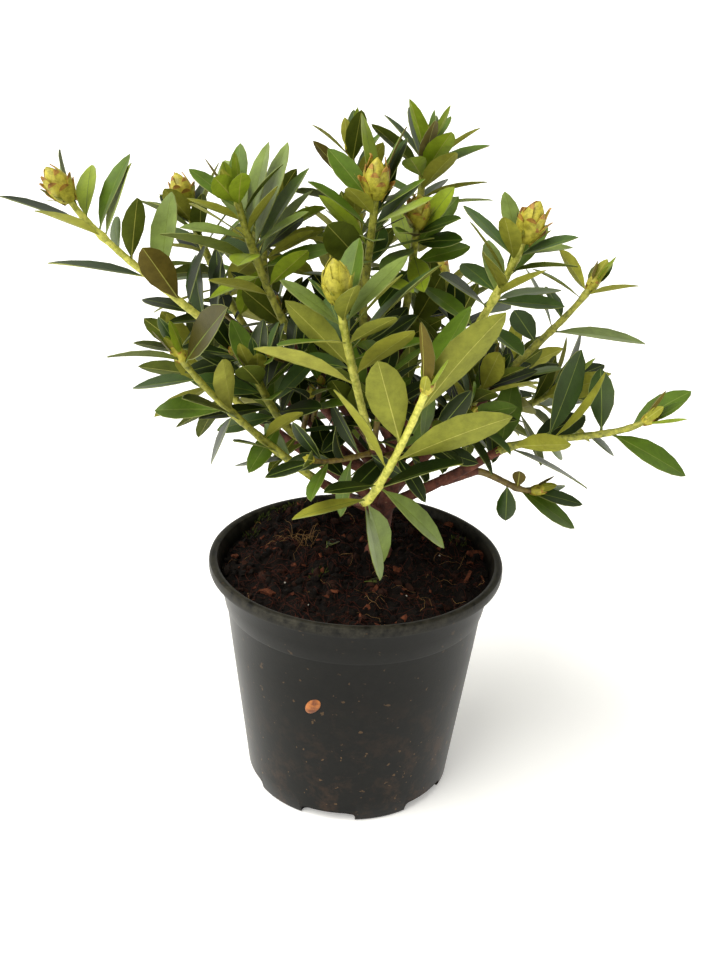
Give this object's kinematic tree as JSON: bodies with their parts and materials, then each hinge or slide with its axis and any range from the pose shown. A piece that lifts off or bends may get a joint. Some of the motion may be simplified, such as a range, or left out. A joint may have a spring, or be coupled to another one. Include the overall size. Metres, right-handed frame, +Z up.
{
  "type": "potted rhododendron",
  "caption": "young small-leaved rhododendron: woody stem, boughs and leafy upright shoots ending in buds, in a tapered round plastic nursery pot filled with soil",
  "frame": {"origin": "centre of the pot's flat underside", "axes": "+Z up, +X to the viewer's right and +Y away from the viewer in the picture"},
  "size_m": [0.2816, 0.2119, 0.3006],
  "materials": {
    "pot": "satin black moulded plastic",
    "soil": "moist fibrous peat and bark",
    "bark": "dull red-brown bark",
    "foliage": "leathery green leaves on yellow-green stems"
  },
  "bodies": {
    "root": {"pot": "pot", "soil": "soil", "trunk": "bark", "bough_far_left": "bark", "bough_left_low": "bark", "bough_front_low": "bark", "bough_front_centre": "bark", "bough_right_low": "bark", "bough_far_right": "bark", "bough_centre_left": "bark", "bough_leader": "bark", "bough_right_high": "bark", "bough_right_top": "bark", "bough_low_right": "bark", "bough_right_back": "bark", "bough_left_back": "bark", "bough_inner_left": "bark", "bough_inner_right": "bark", "bough_back_right": "bark", "bough_back_left": "bark", "bough_back_centre": "bark", "bough_back_low_left": "bark", "bough_back_low_right": "bark", "bough_back_low": "bark", "foliage_far_left": "foliage", "foliage_left_low": "foliage", "foliage_front_low": "foliage", "foliage_front_centre": "foliage", "foliage_right_low": "foliage", "foliage_far_right": "foliage", "foliage_centre_left": "foliage", "foliage_leader": "foliage", "foliage_right_high": "foliage", "foliage_right_top": "foliage", "foliage_low_right": "foliage", "foliage_right_back": "foliage", "foliage_left_back": "foliage", "foliage_inner_left": "foliage", "foliage_inner_right": "foliage", "foliage_back_right": "foliage", "foliage_back_left": "foliage", "foliage_back_centre": "foliage", "foliage_back_low_left": "foliage", "foliage_back_low_right": "foliage", "foliage_back_low": "foliage"}
  },
  "joints": []
}
